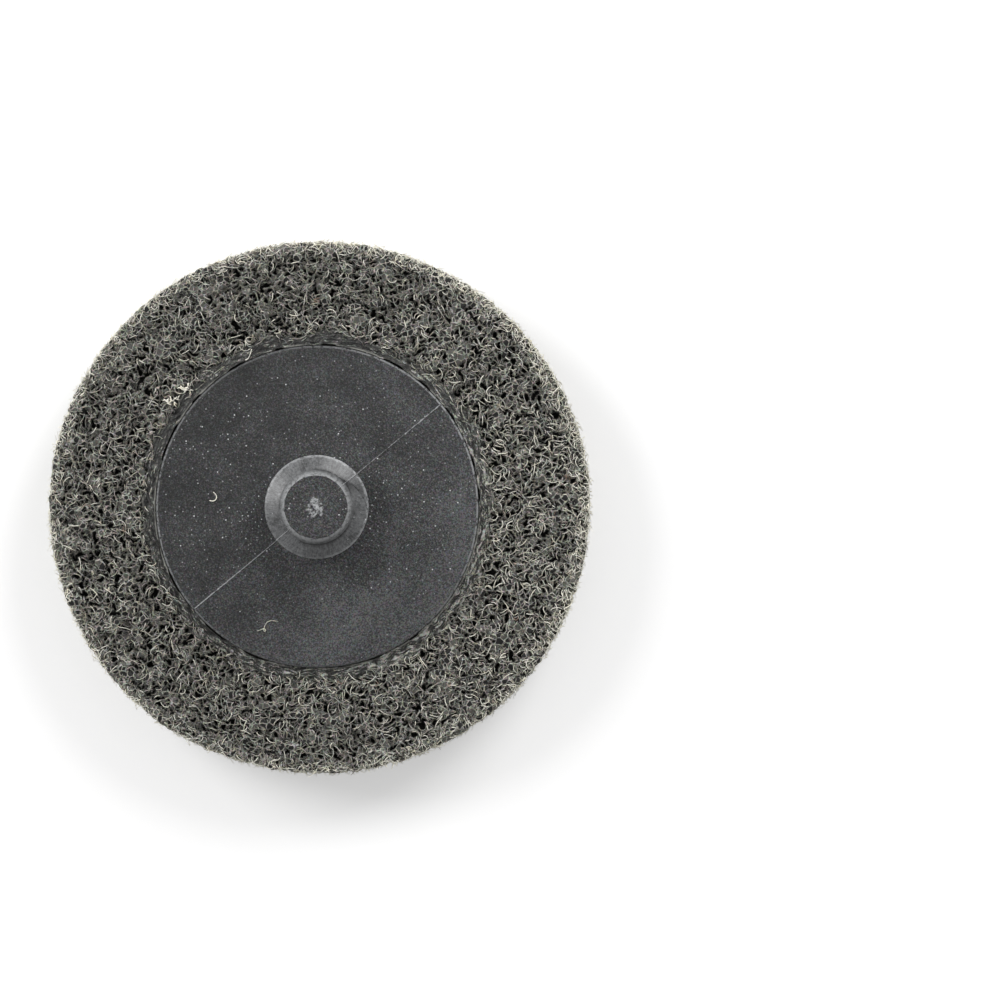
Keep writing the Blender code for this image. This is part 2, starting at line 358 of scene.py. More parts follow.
web = {
    "edgeWander": 0.15 * mm,     # how far the die-cut outline is out of round
    "edgeLobes": 2.0,
    "edgeFray": 0.17 * mm,       # how far the cut edge is frayed
    "frayLobes": 50.0,
    "oval": 0.21 * mm,           # wider than it is tall
    "offCentre": (0.21 * mm, -0.08 * mm),  # the hub is glued on a little to the left
    "coreInset": 0.20 * mm,      # the film lies this far below the fibres' highest points
    "edgeRound": 0.4 * mm,
    "seatGap": 0.03 * mm,
    "gridCells": 180,            # across the working face; four times this is the count round the rim
    "rimStep": 0.22 * mm,
    "backStep": 0.158 * mm,
    "cellSpacing": 0.5 * mm,     # between the small holes that the film keeps
    "holeFrom": 0.09 * mm,       # distance from the nearest fibre where the film breaks
    "holeTo": 0.18 * mm,
    "holeEdge": 0.13 * mm,       # where the broken film is painted black as shade
    "holeDepth": 0.85 * mm,
    "filmSpacing": 1.1 * mm,
    "filmFrom": 0.08,            # noise level over which a patch of film stays whole
    "filmRamp": 0.15,
    "filmCover": 0.25 * mm,      # such a patch counts as this much nearer to its fibres
    "filmRise": 0.13 * mm,       # and rises this far over the rest
    "pitSpacing": 1.3 * mm,
    "pitRamp": 0.35,
    "pitDepth": 0.16 * mm,
}
webTop = webHigh.z
webRadius = (webHigh.x - webLow.x) / 2
rimRadius = webRadius - web["coreInset"]


def outline(angle):
    spot = Vector((math.cos(angle), math.sin(angle), 1))
    wander = web["edgeWander"] / 2 * noise.noise(spot * web["edgeLobes"])
    wander += web["edgeFray"] * noise.noise(spot * web["frayLobes"])
    shift = web["offCentre"][0] * math.cos(angle) + web["offCentre"][1] * math.sin(angle)
    return rimRadius + wander + web["oval"] * math.cos(2 * angle) + shift


def onBack(u, v, depth):
    return Vector((u, v, webTop - depth))


def onFace(u, v, depth):
    return Vector((u, v, depth))


def onRim(u, v, depth):
    angle = u / webRadius
    return around(angle, outline(angle) + web["coreInset"] - depth, v)


def onEdge(u, v, depth, top=True):
    # v runs over the rounded edge, from the flat side at minus to the rim at plus
    angle = u / webRadius
    bend = web["edgeRound"] * 1.4
    turn = min(max(v / bend + 0.5, 0.0), 1.0) * math.pi / 2
    inner = outline(angle) + web["coreInset"] - bend
    radius = inner + (bend - depth) * math.sin(turn) + min(v + bend / 2, 0.0)
    drop = bend - (bend - depth) * math.cos(turn) + max(v - bend / 2, 0.0)
    return around(angle, radius, webTop - drop if top else drop)


def onLowerEdge(u, v, depth):
    return onEdge(u, v, depth, top=False)


# Fibres

fibre = {
    "segments": 4,
    "radius": (0.030 * mm, 0.048 * mm),
    "bend": (0.1, 2.1),          # radians in a millimetre
    "bendDrift": 0.55,
    "deepest": 0.18 * mm,        # depth of the lowest fibres below the envelope
    "dive": (0.06 * mm, 0.28 * mm),
    "choices": 3,
    "room": 0.20 * mm,           # fibres keep off cells of this size that are taken
    # each layer has a seed, the number of its fibres and the range of their lengths
    "back": {"seed": 11, "count": 6800, "length": (0.5 * mm, 1.4 * mm)},
    "face": {"seed": 12, "count": 7200, "length": (0.5 * mm, 1.4 * mm)},
    "rim": {"seed": 13, "count": 3600, "length": (0.5 * mm, 1.4 * mm)},
    "upperEdge": {"seed": 14, "count": 2500, "length": (0.5 * mm, 1.3 * mm)},
    "lowerEdge": {"seed": 15, "count": 1400, "length": (0.5 * mm, 1.3 * mm)},
    "fuzz": {"seed": 16, "count": 1900, "length": (0.3 * mm, 0.65 * mm), "radius": (0.025 * mm, 0.04 * mm)},
    "stuck": {"seed": 17, "count": 260, "length": (0.5 * mm, 1.5 * mm), "radius": (0.03 * mm, 0.05 * mm)},
    "tuft": {"seed": 18, "length": (0.25 * mm, 0.6 * mm), "radius": (0.05 * mm, 0.075 * mm)},
}


def curl(rng, start, length, segments, lift, toward=None):
    # one fibre's run over a surface, as (u, v, depth) points; its ends dive into the mat
    step = length / segments
    heading = rng.uniform(0, math.tau) if toward is None else rng.gauss(toward, 0.5)
    bend = rng.choice((-1, 1)) * rng.uniform(*fibre["bend"]) / mm
    dive = rng.uniform(*fibre["dive"])
    u, v = start
    run = []
    for index in range(segments + 1):
        share = 2 * index / segments - 1
        run.append((u, v, lift + dive * share * share * abs(share)))
        heading += bend * step
        bend += rng.gauss(0, fibre["bendDrift"]) / mm
        u += step * math.cos(heading)
        v += step * math.sin(heading)
    return run


def scatter(layer, pick, inside, lay, toneAt):
    # fibres as (points, radius, tone); of a few that fit, the one with the most room is kept
    rng = random.Random(layer["seed"])
    made = []
    taken = set()
    while len(made) < layer["count"]:
        choices = []
        while len(choices) < fibre["choices"]:
            lift = fibre["deepest"] * rng.random()
            length = rng.uniform(*layer["length"])
            run = curl(rng, pick(rng), length, fibre["segments"], lift)
            if all(inside(u, v) for u, v, depth in run):
                cells = [(round(u / fibre["room"]), round(v / fibre["room"])) for u, v, depth in run]
                choices.append((sum(cell in taken for cell in cells), len(choices), run, lift, cells))
        crowd, order, run, lift, cells = min(choices)
        taken.update(cells)
        thick = rng.uniform(*fibre["radius"])
        points = [lay(u, v, depth + thick) for u, v, depth in run]
        high = 1 - lift / fibre["deepest"]
        made.append((points, thick, toneAt(rng, points[len(points) // 2], high)))
    return made


def sectionCurve():  # the three-sided section of a fibre, one unit in radius
    data = bpy.data.curves.new("fibreSection", "CURVE")
    data.dimensions = "2D"
    spline = data.splines.new("POLY")
    spline.points.add(2)
    for index, point in enumerate(spline.points):
        angle = -math.tau * index / 3
        point.co = (math.cos(angle), math.sin(angle), 0, 1)
    spline.use_cyclic_u = True
    section = bpy.data.objects.new("fibreSection", data)
    bpy.context.scene.collection.objects.link(section)
    section.hide_render = True
    return section


def fibrePiece(name, fibres, section, material):
    data = bpy.data.curves.new(name + "Lines", "CURVE")
    data.dimensions = "3D"
    data.bevel_mode = "OBJECT"
    data.bevel_object = section
    data.use_fill_caps = True
    for points, thick, tone in fibres:
        spline = data.splines.new("POLY")
        spline.points.add(len(points) - 1)
        spline.points.foreach_set("co", [c for point in points for c in (*point, 1)])
        spline.points.foreach_set("radius", [thick] * len(points))
    lines = bpy.data.objects.new(name + "Lines", data)
    bpy.context.scene.collection.objects.link(lines)
    graph = bpy.context.evaluated_depsgraph_get()
    mesh = bpy.data.meshes.new_from_object(lines.evaluated_get(graph), depsgraph=graph)
    bpy.data.objects.remove(lines)
    # the caps come first, two for each fibre and the last fibre's first, and then the tubes
    owners = [index for index in reversed(range(len(fibres))) for corner in range(6)]
    for index, (points, thick, tone) in enumerate(fibres):
        owners += [index] * (3 * len(points))
    tones = mesh.attributes.new("tone", "FLOAT", "POINT")
    tones.data.foreach_set("value", [fibres[owner][2] for owner in owners])
    welded = bmesh.new()
    welded.from_mesh(mesh)
    bpy.data.meshes.remove(mesh)
    bmesh.ops.remove_doubles(welded, verts=welded.verts, dist=0.0005 * mm)
    return finish(welded, name, material)


def fibreTree(fibres):
    total = sum(2 * len(points) - 1 for points, thick, tone in fibres)
    tree = kdtree.KDTree(total)
    index = 0
    for points, thick, tone in fibres:
        for point in points:
            tree.insert(point, index)
            index += 1
        for first, second in zip(points, points[1:]):
            tree.insert((first + second) / 2, index)
            index += 1
    tree.balance()
    return tree


# Core: the bonded film between the fibres, with a hole wherever no fibre is near

def discPlace(x, y):  # a square grid's point on the disc that its rings become
    reach = max(abs(x), abs(y))
    if reach == 0:
        return 0.0, 0.0
    if abs(x) >= abs(y):
        angle = math.pi / 4 * y / x + (0 if x > 0 else math.pi)
    else:
        angle = math.pi / 2 - math.pi / 4 * x / y + (0 if y > 0 else math.pi)
    return reach * math.cos(angle), reach * math.sin(angle)


def seatEdge(angle):
    return beadOuter(angle) + web["seatGap"]


def roundedRings(turns):  # (radius at an angle, distance from the flat side) over a rounded edge
    bend = web["edgeRound"]
    rings = []
    for turn in turns:
        out = bend * (1 - math.sin(math.radians(turn)))
        rise = bend * (1 - math.cos(math.radians(turn)))
        rings.append((lambda angle, out=out: outline(angle) - out, rise))
    return rings


def backRing(share):  # radius at an angle, from the rounded edge at 0 to the seat's edge at 1
    bend = web["edgeRound"]
    return lambda angle: (outline(angle) - bend) * (1 - share) + seatEdge(angle) * share


def coreStations():  # (radius at an angle, height) of each ring, from the face's edge round to the seat
    bend = web["edgeRound"]
    inset = web["coreInset"]
    stations = [(radiusAt, inset + rise) for radiusAt, rise in roundedRings((30, 60, 90))]
    low, high = inset + bend, webTop - inset - bend
    rows = round((high - low) / web["rimStep"])
    for row in range(1, rows + 1):
        stations.append((outline, low + (high - low) * row / rows))
    stations += [(radiusAt, webTop - inset - rise) for radiusAt, rise in roundedRings((60, 30, 0))]
    wide = rimRadius - bend - beadInner - bead["width"]
    rings = round(wide / web["backStep"])
    stations += [(backRing(ring / rings), webTop - inset) for ring in range(1, rings + 1)]
    stations.append((seatEdge, glueLow.z))
    return stations


def makeCore(tree, material):
    cells = web["gridCells"]
    mesh = bmesh.new()
    bmesh.ops.create_grid(mesh, x_segments=cells, y_segments=cells, size=1.0)
    for vert in mesh.verts:
        x, y = discPlace(vert.co.x, vert.co.y)
        reach = math.hypot(x, y)
        edge = outline(math.atan2(y, x)) - web["edgeRound"]
        vert.co = Vector((x * edge, y * edge, web["coreInset"]))
    edges = [edge for edge in mesh.edges if edge.is_boundary]
    for radiusAt, height in coreStations():
        grown = bmesh.ops.extrude_edge_only(mesh, edges=edges)["geom"]
        edges = [item for item in grown if isinstance(item, bmesh.types.BMEdge) and item.is_boundary]
        for vert in (item for item in grown if isinstance(item, bmesh.types.BMVert)):
            angle = math.atan2(vert.co.y, vert.co.x)
            vert.co = around(angle, radiusAt(angle), height)
    bmesh.ops.holes_fill(mesh, edges=edges, sides=0)
    bmesh.ops.recalc_face_normals(mesh, faces=mesh.faces)
    mesh.normal_update()
    hole = mesh.verts.layers.float.new("hole")
    moves = []
    for vert in mesh.verts:
        radius = vert.co.xy.length
        seat = seatEdge(math.atan2(vert.co.y, vert.co.x))
        if vert.co.z > webTop / 2 and radius < seat + 10 * slack:
            moves.append(0.0)
            continue
        film = smoothStep((noise.noise(vert.co / web["filmSpacing"]) - web["filmFrom"]) / web["filmRamp"])
        near = tree.find(vert.co)[2] - web["filmCover"] * film
        broken = smoothStep((near - web["holeFrom"]) / (web["holeTo"] - web["holeFrom"]))
        pit = smoothStep(noise.noise(vert.co / web["pitSpacing"]) / web["pitRamp"])
        vert[hole] = near / mm
        whole = web["pitDepth"] * pit - web["filmRise"] * film
        moves.append(broken * web["holeDepth"] + whole * (1 - broken))
    for vert, move in zip(mesh.verts, moves):
        vert.co -= vert.normal * move
    return finish(mesh, "webFilm", material)


# Where each layer of fibres may start and lie

def pickRing(low, high):
    def pick(rng):
        radius = math.sqrt(rng.uniform(low ** 2, high ** 2))
        angle = rng.uniform(0, math.tau)
        return radius * math.cos(angle), radius * math.sin(angle)
    return pick


def pickRim(rng):
    return rng.uniform(0, math.tau * webRadius), rng.uniform(0, webTop)


def pickEdge(rng):
    return rng.uniform(0, math.tau * webRadius), rng.uniform(-0.9, 0.6) * mm


def insideDisc(high):
    return lambda u, v: math.hypot(u, v) < high


def outsideBead(high):
    return lambda u, v: beadOuter(math.atan2(v, u)) - bead["fibreLap"] < math.hypot(u, v) < high


def insideRim(u, v):
    return 0.35 * mm < v < webTop - 0.35 * mm


def insideEdge(u, v):
    return -1.1 * mm < v < 1.1 * mm


# How pale each fibre is, from 0 to 1; high is 1 for the fibres that lie on top, and lower fibres are
# painted darker as shade

def facing(angle, degrees):  # 1 at that many degrees and -1 on the other side
    return math.cos(angle - math.radians(degrees))


def backTone(rng, place, high):
    angle = math.atan2(place.y, place.x)
    # painted light: the pale band at the edge is wider towards 40 degrees, and side makes fibres paler
    # towards plus x and at both ends of x, a little darker towards plus y
    band = (1.2 + 0.6 * facing(angle, 40)) * mm
    edge = smoothStep(1 - (webRadius - place.xy.length) / band)
    side = 0.08 * facing(angle, 0) - 0.03 * facing(angle, 90) + 0.03 * facing(2 * angle, 0)
    return min(max(0.24 + side + 0.48 * high + rng.gauss(0, 0.19) + 0.3 * edge, 0.0), 0.98)


def faceTone(rng, place, high):
    return min(max(0.22 + 0.48 * high + rng.gauss(0, 0.16), 0.0), 0.98)


def rimTone(rng, place, high):
    upper = 0.25 * smoothStep((place.z - webTop) / (1.2 * mm) + 1)
    return min(max(0.3 + upper + 0.4 * high + rng.gauss(0, 0.16), 0.0), 0.98)


def edgeTone(rng, place, high):  # the cut ends are paler, most of all at the very edge, and painted light makes them paler towards 50 degrees
    angle = math.atan2(place.y, place.x)
    inside = outline(angle) + web["coreInset"] - place.xy.length
    # painted light: paler towards 50 degrees, darker on the other side
    freshAndLit = 0.58 + 0.15 * facing(angle, 50)
    outer = 0.6 * smoothStep(1 - inside / (0.6 * mm))
    return min(max(freshAndLit + outer + 0.22 * high + rng.gauss(0, 0.22), 0.0), 1.0)


# Fibres that aren't scattered over a surface

def rimFuzz(layer):  # cut ends that stand out from the rim
    rng = random.Random(layer["seed"])
    made = []
    rim = math.tau * webRadius
    for index in range(layer["count"]):
        angle = rng.uniform(0, rim) / webRadius
        height = rng.uniform(0.3 * mm, webTop - 0.3 * mm)
        heading = Vector((math.cos(angle), math.sin(angle), 0))
        side = Vector((-heading.y, heading.x, 0))
        place = heading * (outline(angle) + web["coreInset"] - 0.35 * mm) + Vector((0, 0, height))
        drift = side * rng.gauss(0, 0.8) + Vector((0, 0, rng.gauss(0, 0.3)))
        turn = side * rng.gauss(0, 0.6) + Vector((0, 0, rng.gauss(0, 0.3)))
        reach = rng.uniform(*layer["length"])
        points = []
        for step in range(5):
            share = step / 4
            point = place + (heading * share + drift * share + turn * share * share) * reach
            point.z = max(point.z, 0.05 * mm)
            points.append(point)
        tone = edgeTone(rng, points[-1], 0.5)
        made.append((points, rng.uniform(*layer["radius"]), tone))
    return made


def stuckFibres(layer):  # fibres glued down along the bead
    rng = random.Random(layer["seed"])
    made = []
    while len(made) < layer["count"]:
        angle = rng.uniform(0, math.tau)
        radius = beadOuter(angle) + rng.uniform(-0.6, 0.35) * mm
        start = (radius * math.cos(angle), radius * math.sin(angle))
        toward = angle + math.pi / 2 + rng.choice((0, math.pi))
        run = curl(rng, start, rng.uniform(*layer["length"]), fibre["segments"], -0.1 * mm, toward)
        points = [Vector((u, v, glueHigh.z - 0.12 * mm - depth * 0.5)) for u, v, depth in run]
        if all(point.xy.length > flangeRadius + 0.35 * mm for point in points):
            made.append((points, rng.uniform(*layer["radius"]), rng.uniform(0.35, 0.85)))
    return made


def tufts(layer):  # clumps of pale fibres pulled up beside the bead
    rng = random.Random(layer["seed"])
    made = []
    for degrees, radius, count in bead["tufts"]:
        centre = around(math.radians(degrees), radius, 0)
        for index in range(count):
            start = (centre.x + rng.gauss(0, 0.22) * mm, centre.y + rng.gauss(0, 0.16) * mm)
            run = curl(rng, start, rng.uniform(*layer["length"]), fibre["segments"], -0.1 * mm)
            points = [Vector((u, v, glueHigh.z - 0.08 * mm - depth * 0.5)) for u, v, depth in run]
            made.append((points, rng.uniform(*layer["radius"]), rng.uniform(0.95, 1.0)))
    return made


# Loose hairs: two that lie on the flange and one across the bead, as routes of (x, y) points in millimetres

hairs = {
    "thickness": 0.06 * mm,
    "curl": [(-9.78, 1.38), (-9.55, 1.16), (-9.47, 0.88), (-9.60, 0.62), (-9.87, 0.52), (-10.15, 0.58)],
    "knotted": [
        (-5.67, -11.70), (-5.40, -11.62), (-5.05, -11.49), (-4.85, -11.62), (-4.95, -11.76),
        (-5.04, -11.62), (-4.96, -11.26), (-4.72, -10.88), (-4.30, -10.73), (-3.69, -10.81),
    ],
    "crossing": [(-6.18, 14.85), (-6.30, 14.45), (-6.50, 13.98), (-6.85, 13.78)],
}


def makeHairs(material, section):
    thick = hairs["thickness"]
    laid = []
    levels = (("curl", flangeTop, 0.9), ("knotted", flangeTop, 0.72), ("crossing", glueHigh.z, 0.8))
    for name, height, tone in levels:
        route = [Vector((x * mm, y * mm, height + thick * 0.9)) for x, y in hairs[name]]
        points = []
        for index in range(len(route) - 1):  # a smooth curve through the route's points
            before = route[max(index - 1, 0)]
            after = route[min(index + 2, len(route) - 1)]
            start, end = route[index], route[index + 1]
            handles = (start + (end - before) / 6, end - (after - start) / 6)
            points += interpolate_bezier(start, *handles, end, 5)[:-1]
        laid.append((points + [route[-1]], thick, tone))
    fibrePiece("looseHairs", laid, section, material)


# The whole web

def makeWeb(section):
    material = fibreLook()
    reach = webRadius - 0.3 * mm
    seat = beadInner + bead["width"] * 0.6
    layers = {
        "backFibres": scatter(fibre["back"], pickRing(seat, reach), outsideBead(reach), onBack, backTone),
        "faceFibres": scatter(fibre["face"], pickRing(0, reach), insideDisc(reach), onFace, faceTone),
        "rimFibres": scatter(fibre["rim"], pickRim, insideRim, onRim, rimTone),
        "upperEdgeFibres": scatter(fibre["upperEdge"], pickEdge, insideEdge, onEdge, edgeTone),
        "lowerEdgeFibres": scatter(fibre["lowerEdge"], pickEdge, insideEdge, onLowerEdge, edgeTone),
    }
    laid = [one for fibres in layers.values() for one in fibres]
    layers["rimFuzz"] = rimFuzz(fibre["fuzz"])
    layers["stuckFibres"] = stuckFibres(fibre["stuck"]) + tufts(fibre["tuft"])
    print("fibres laid", {name: len(fibres) for name, fibres in layers.items()})
    core = makeCore(fibreTree(laid), filmLook())
    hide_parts("abrasive_web")
    for name, fibres in layers.items():
        fibrePiece(name, fibres, section, material)
    makeHairs(material, section)
    print("web made")


# Glue bead

bead = {
    "steps": 640,
    "hubGap": 0.3 * mm,          # the solids' gap between the glue and the hub
    "width": 1.0 * mm,
    "wander": 0.75 * mm,
    "lobes": 5.0,
    "fineLobes": 13.5,
    "fineShare": 0.5,
    "frayLobes": 45.0,
    "frayShare": 0.4,
    "tufts": [(138.2, 16.6 * mm, 12), (144.0, 17.1 * mm, 14)],  # angle in degrees, radius and fibres
    "fibreLap": 0.3 * mm,        # how far the web's fibres reach over its edge
    "rows": 18,
    "crown": 0.35 * mm,
    "contact": 0.02 * mm,        # its inner edge lies this far off the flange
    "crevice": 0.15 * mm,        # and this much more where the glue has pulled away
    "creviceLobes": 7,
    "wick": 0.30 * mm,           # its rise against the flange
    "ridgeSpacing": 0.20 * mm,
    "ridgeHeight": 0.10 * mm,
    "ridgeLobes": 10,
    "driftLobes": 18,            # the ridges drift in and out this often on the way round
    "lumpSpacing": 0.5 * mm,
    "lumpHeight": 0.12 * mm,
    "lumpLobes": 22,
}


def beadOuter(angle):
    spot = Vector((math.cos(angle), math.sin(angle), 0))
    ragged = noise.noise(spot * bead["lobes"]) + bead["fineShare"] * noise.noise(spot * bead["fineLobes"])
    ragged += bead["frayShare"] * noise.noise(spot * bead["frayLobes"])
    return beadInner + bead["width"] + bead["wander"] * ragged


def makeBead():
    rows = bead["rows"]
    outer = beadInner + bead["width"]
    crown = bead["crown"]
    profile = [(0, glueLow.z), (outer, glueLow.z)]
    for row in range(rows + 1):
        share = row / rows
        height = glueHigh.z - crown * (1 - share) ** 3 - 0.1 * mm * smoothStep((share - 0.97) / 0.03)
        profile.append((outer - bead["width"] * share, height))
    profile += [(beadInner, glueFloor), (0, glueFloor)]
    mesh = turned(profile, bead["steps"])
    lip = mesh.verts.layers.float.new("lip")
    for vert in mesh.verts:
        radius, height = vert.co.xy.length, vert.co.z
        if radius < beadInner - slack:
            continue
        angle = math.atan2(vert.co.y, vert.co.x)
        spot = Vector((math.cos(angle), math.sin(angle), 0))
        top = smoothStep((height - glueHigh.z + 0.4 * mm) / (0.2 * mm))
        share = (radius - beadInner) / bead["width"]
        apart = noise.noise(spot * bead["creviceLobes"] + Vector((0, 0, 3)))
        pulled = bead["crevice"] * smoothStep((apart - 0.14) / 0.14)
        vert[lip] = top * smoothStep((share - 0.78) / 0.14)
        inner = beadInner if top == 0 else flangeRadius + bead["contact"] + pulled
        radius = inner + (beadOuter(angle) - inner) * share
        height += top * bead["wick"] * (1 - share) ** 6
        drift = noise.noise(spot * bead["driftLobes"]) * 2.5
        outward = Vector((0, 0, radius / bead["ridgeSpacing"] + drift))
        ridge = noise.noise(spot * bead["ridgeLobes"] + outward)
        lump = noise.noise(spot * bead["lumpLobes"] + Vector((0, 0, radius / bead["lumpSpacing"])))
        height += top * (bead["ridgeHeight"] * (ridge - 0.4) + bead["lumpHeight"] * (lump - 0.3))
        vert.co = around(angle, radius, min(height, glueHigh.z + bead["wick"]))
    piece = finish(mesh, "glueBead", glueLook())
    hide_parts("glue_bed")
    print("glue bead made")


# Hub

hub = {
    "steps": 240,
    "flangeThickness": 1.2 * mm,
    "edgeRound": 0.3 * mm,
    "studRadius": 3.45 * mm,
    "studHeight": 6.0 * mm,
    "baseFillet": 0.5 * mm,
    "tipRadius": 3.0 * mm,
    "tipChamfer": 0.5 * mm,
    "gateRadius": 1.05 * mm,
    "gateHeight": 0.15 * mm,
    "gateGrain": 0.22 * mm,
    "gateLobes": 1.8,
    "threadRadius": 4.86 * mm,
    "threadPitch": 2.2 * mm,
    "threadTurns": 1.4,
    "crestWidth": 0.5 * mm,
    "rootWidth": 2.0 * mm,
    "threadStart": math.radians(90),
    "runInDelay": math.radians(26),
    "runIn": math.radians(86),
    "runOut": math.radians(38),
    "rowHeight": 0.06 * mm,
    "partingAngle": math.radians(39.7),
    "flashWidth": 0.10 * mm,     # half the width of the parting line's ridge
    "flashHeight": 0.04 * mm,
    "paintedShadeWidth": 0.24 * mm,
}
flangeRadius = (hubHigh.x - hubLow.x) / 2
flangeTop = hubLow.z + hub["flangeThickness"]
studTop = flangeTop + hub["studHeight"]
beadInner = flangeRadius + bead["hubGap"]
glueFloor = hubLow.z - bead["hubGap"]


def threadRise(angle, height):
    turnsDown = ((hub["threadStart"] - angle) / math.tau) % 1.0
    firstCentre = hub["studHeight"] - hub["tipChamfer"] - hub["rootWidth"] / 2
    depth = hub["threadRadius"] - hub["studRadius"]
    flank = (hub["rootWidth"] - hub["crestWidth"]) / 2
    rise = 0.0
    while turnsDown < hub["threadTurns"]:
        offCentre = abs(height - firstCentre + turnsDown * hub["threadPitch"])
        share = min(max((hub["rootWidth"] / 2 - offCentre) / flank, 0.0), 1.0)
        runIn = smoothStep((turnsDown * math.tau - hub["runInDelay"]) / hub["runIn"])
        runOut = smoothStep((hub["threadTurns"] - turnsDown) * math.tau / hub["runOut"])
        rise = max(rise, depth * share * runIn * runOut)
        turnsDown += 1.0
    return rise


def corner(centre, radius, start, end, steps=6):
    points = []
    for step in range(steps + 1):
        angle = math.radians(start + (end - start) * step / steps)
        points.append((centre[0] + radius * math.cos(angle), centre[1] + radius * math.sin(angle)))
    return points


def addWearAndHighlight(mesh):  # edges that handling has rubbed pale, with painted highlight on the flange's edge, the tip's chamfer and the thread's crest
    wear = mesh.verts.layers.float.new("wear")
    for vert in mesh.verts:
        radius, height = vert.co.xy.length, vert.co.z
        onFlange = abs(radius - flangeRadius + 0.12 * mm) < 0.1 * mm and height > flangeTop - 0.2 * mm
        onTip = hub["tipRadius"] - 0.05 * mm < radius < hub["studRadius"] and height > studTop - 0.45 * mm
        onCrest = radius > hub["threadRadius"] - 0.18 * mm and height > flangeTop + 0.5 * mm
        angle = math.atan2(vert.co.y, vert.co.x)
        # painted highlight: the flange's edge is paler on the sides that face the lamps, and the crest
        # paler towards 45 degrees
        rubbedAndLit = 0.5 + 0.3 * facing(2 * angle, 30) + 0.15 * facing(angle, 25)
        crestHighlight = 0.6 + 0.4 * facing(angle, 45)
        vert[wear] = rubbedAndLit if onFlange else 0.9 * onTip + crestHighlight * onCrest


def addPaintedThreadShade(mesh):  # painted shade: darker along the foot of the thread's upper flank, and under the turn above it
    grime = mesh.verts.layers.float.new("grime")
    for vert in mesh.verts:
        rise = vert.co.xy.length - hub["studRadius"]
        height = vert.co.z - flangeTop
        if rise < -slack or height < hub["baseFillet"]:
            continue
        angle = math.atan2(vert.co.y, vert.co.x)
        if threadRise(angle, height - 0.12 * mm) > rise + slack:  # on the thread's upper flank
            above = max(threadRise(angle, height + step * 0.15 * mm) for step in range(1, 15))
            nearStart = smoothStep((facing(angle, 58) - 0.72) / 0.15)
            farSide = smoothStep((facing(angle, -70) - 0.6) / 0.2)
            vert[grime] = max(nearStart, farSide) * (1 - smoothStep((rise - above) / hub["paintedShadeWidth"]))


def addGateMark(mesh):  # where the sprue was torn off the tip
    torn = mesh.verts.layers.float.new("torn")
    for vert in mesh.verts:
        radius = vert.co.xy.length
        if vert.co.z > studTop - slack and radius < hub["gateRadius"] * 1.3:
            spot = vert.co / hub["gateGrain"]
            lobes = Vector((vert.co.x, vert.co.y, 0)).normalized() * hub["gateLobes"]
            reach = hub["gateRadius"] * (0.78 + 0.3 * noise.noise(lobes))
            middle = 1 - smoothStep((radius - 0.15 * mm) / (0.2 * mm))
            lip = 1 - smoothStep(abs(radius - reach) / (0.28 * mm))
            fill = smoothStep((reach - radius) / (0.15 * mm))
            rough = 0.5 * fill + 0.3 * middle + 0.35 * lip + 0.35 * max(fill, lip) * noise.noise(spot)
            vert[torn] = min(max(rough, 0.0), 1.0)
            vert.co.z = studTop + hub["gateHeight"] * vert[torn]


def addPartingLine(mesh):  # the fine ridge where the two halves of the mould met
    torn = mesh.verts.layers.float["torn"]
    across = Vector((-math.sin(hub["partingAngle"]), math.cos(hub["partingAngle"]), 0))
    for side in (-1, 0, 1):
        bmesh.ops.bisect_plane(
            mesh,
            geom=mesh.verts[:] + mesh.edges[:] + mesh.faces[:],
            dist=0.0001 * mm,
            plane_co=across * side * hub["flashWidth"],
            plane_no=across,
        )
    mesh.normal_update()
    for vert in mesh.verts:
        if abs(vert.co.dot(across)) < 0.0005 * mm and vert.co.z > hubLow.z + 0.3 * mm:
            onTip = vert.co.z > studTop - slack
            nearEdge = vert.co.xy.length > flangeRadius - 0.2 * mm
            if not onTip:
                vert.co += vert.normal * hub["flashHeight"]
                vert[torn] = 0.0 if nearEdge else 1.0 - 0.25 * smoothStep((vert.co.x + 9 * mm) / (16 * mm))
            elif vert.co.x > 0:
                vert[torn] = max(vert[torn], 0.6)


def makeHub():
    bend = hub["edgeRound"]
    inner = flangeRadius - bend
    wallLow = flangeTop + hub["baseFillet"]
    wallHigh = studTop - hub["tipChamfer"]
    rows = round((wallHigh - wallLow) / hub["rowHeight"])
    profile = [(0, hubLow.z)]
    profile += corner((inner, hubLow.z + bend), bend, -90, 0)
    profile += corner((inner, flangeTop - bend), bend, 0, 90)
    profile += corner((hub["studRadius"] + hub["baseFillet"], wallLow), hub["baseFillet"], 270, 180)
    for row in range(1, rows + 1):
        profile.append((hub["studRadius"], wallLow + (wallHigh - wallLow) * row / rows))
    profile += corner((hub["tipRadius"] - 0.1 * mm, studTop - 0.1 * mm), 0.1 * mm, 45, 90, 3)
    profile += [(hub["tipRadius"] - 0.25 * mm, studTop)]
    rings = 12
    profile += [(hub["gateRadius"] * 1.2 * (1 - ring / rings), studTop) for ring in range(rings + 1)]
    mesh = turned(profile, hub["steps"])
    for vert in mesh.verts:
        if abs(vert.co.xy.length - hub["studRadius"]) < slack:
            angle = math.atan2(vert.co.y, vert.co.x)
            rise = threadRise(angle, vert.co.z - flangeTop)
            vert.co = around(angle, hub["studRadius"] + rise, vert.co.z)
    addWearAndHighlight(mesh)
    addPaintedThreadShade(mesh)
    addGateMark(mesh)
    addPartingLine(mesh)
    piece = finish(mesh, "mouldedHub", nylonLook())
    piece.data.set_sharp_from_angle(angle=math.radians(50))
    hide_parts("hub")
    print("hub made")


# Camera, light and floor

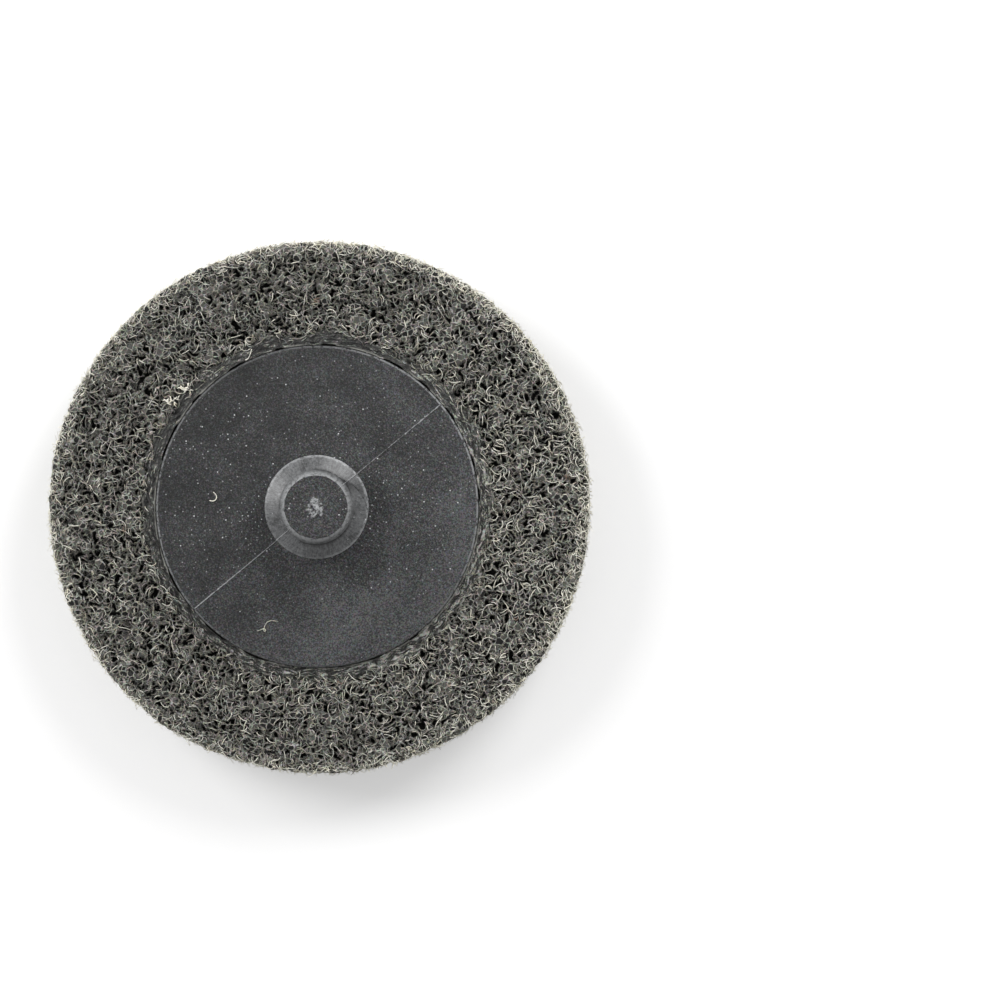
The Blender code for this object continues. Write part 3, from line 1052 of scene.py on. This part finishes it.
shot = {
    "frameWidth": 94.4 * mm,
    "distance": 450 * mm,
    "tiltRight": math.radians(1.3),
    "tiltUp": math.radians(0.3),
    "aim": Vector((17.23 * mm, 0.63 * mm, webTop)),
    "sensor": 36.0,
    "lamps": {  # place, width and watts
        "leftLamp": ((-0.54, 0.31, 0.36), 0.40, 3.4),
        "rightLamp": ((0.38, 0.49, 0.36), 0.40, 3.2),
    },
    "skyStrength": 0.4,
    "floorRadius": 6.0,
    "floorGlow": 0.35,  # only what the camera and reflections see of the floor
}


def makeCamera():
    data = bpy.data.cameras.new("camera")
    data.sensor_width = shot["sensor"]
    data.lens = shot["sensor"] * shot["distance"] / shot["frameWidth"]
    data.clip_start = 0.01
    data.clip_end = 5.0
    camera = bpy.data.objects.new("camera", data)
    bpy.context.scene.collection.objects.link(camera)
    away = Vector((math.tan(shot["tiltRight"]), math.tan(shot["tiltUp"]), 1)) * shot["distance"]
    camera.location = Vector((0, 0, webTop)) + away
    back = (camera.location - shot["aim"]).normalized()
    right = Vector((0, 1, 0)).cross(back).normalized()
    camera.rotation_euler = Matrix((right, back.cross(right), back)).transposed().to_euler()
    bpy.context.scene.camera = camera


def makeLamp(name, place, size, watts):
    data = bpy.data.lights.new(name, "AREA")
    data.shape = "DISK"
    data.size = size
    data.energy = watts
    lamp = bpy.data.objects.new(name, data)
    bpy.context.scene.collection.objects.link(lamp)
    lamp.location = place
    lamp.rotation_euler = (Vector((0, 0, 0)) - Vector(place)).to_track_quat("-Z", "Y").to_euler()


def makeFloor():
    mesh = bmesh.new()
    bmesh.ops.create_circle(mesh, cap_ends=True, segments=64, radius=shot["floorRadius"])
    data = bpy.data.meshes.new("floor")
    mesh.to_mesh(data)
    mesh.free()
    floor = bpy.data.objects.new("floor", data)
    bpy.context.scene.collection.objects.link(floor)
    look = Look("white_floor", **{"Base Color": (0.8, 0.8, 0.8, 1.0), "Roughness": 0.9})
    look.shader.inputs["Emission Color"].default_value = (1.0, 1.0, 1.0, 1.0)
    seen = look.node("ShaderNodeLightPath", output="Is Camera Ray")
    seen = seen + look.node("ShaderNodeLightPath", output="Is Glossy Ray")
    seen = seen + look.node("ShaderNodeLightPath", output="Is Transmission Ray")
    look.feed("Emission Strength", seen * shot["floorGlow"])
    data.materials.append(look.material)


def makeWorld():
    world = bpy.data.worlds.new("studio")
    world.use_nodes = True
    sky = world.node_tree.nodes["Background"]
    sky.inputs["Color"].default_value = (1.0, 1.0, 1.0, 1.0)
    sky.inputs["Strength"].default_value = shot["skyStrength"]
    bpy.context.scene.world = world


makeCamera()
makeWorld()
makeFloor()
for name, (place, size, watts) in shot["lamps"].items():
    makeLamp(name, place, size, watts)
print("camera, floor and lamps placed")
bpy.context.scene.view_settings.view_transform = "Standard"
section = sectionCurve()
makeWeb(section)
makeBead()
makeHub()
bpy.data.objects.remove(section)
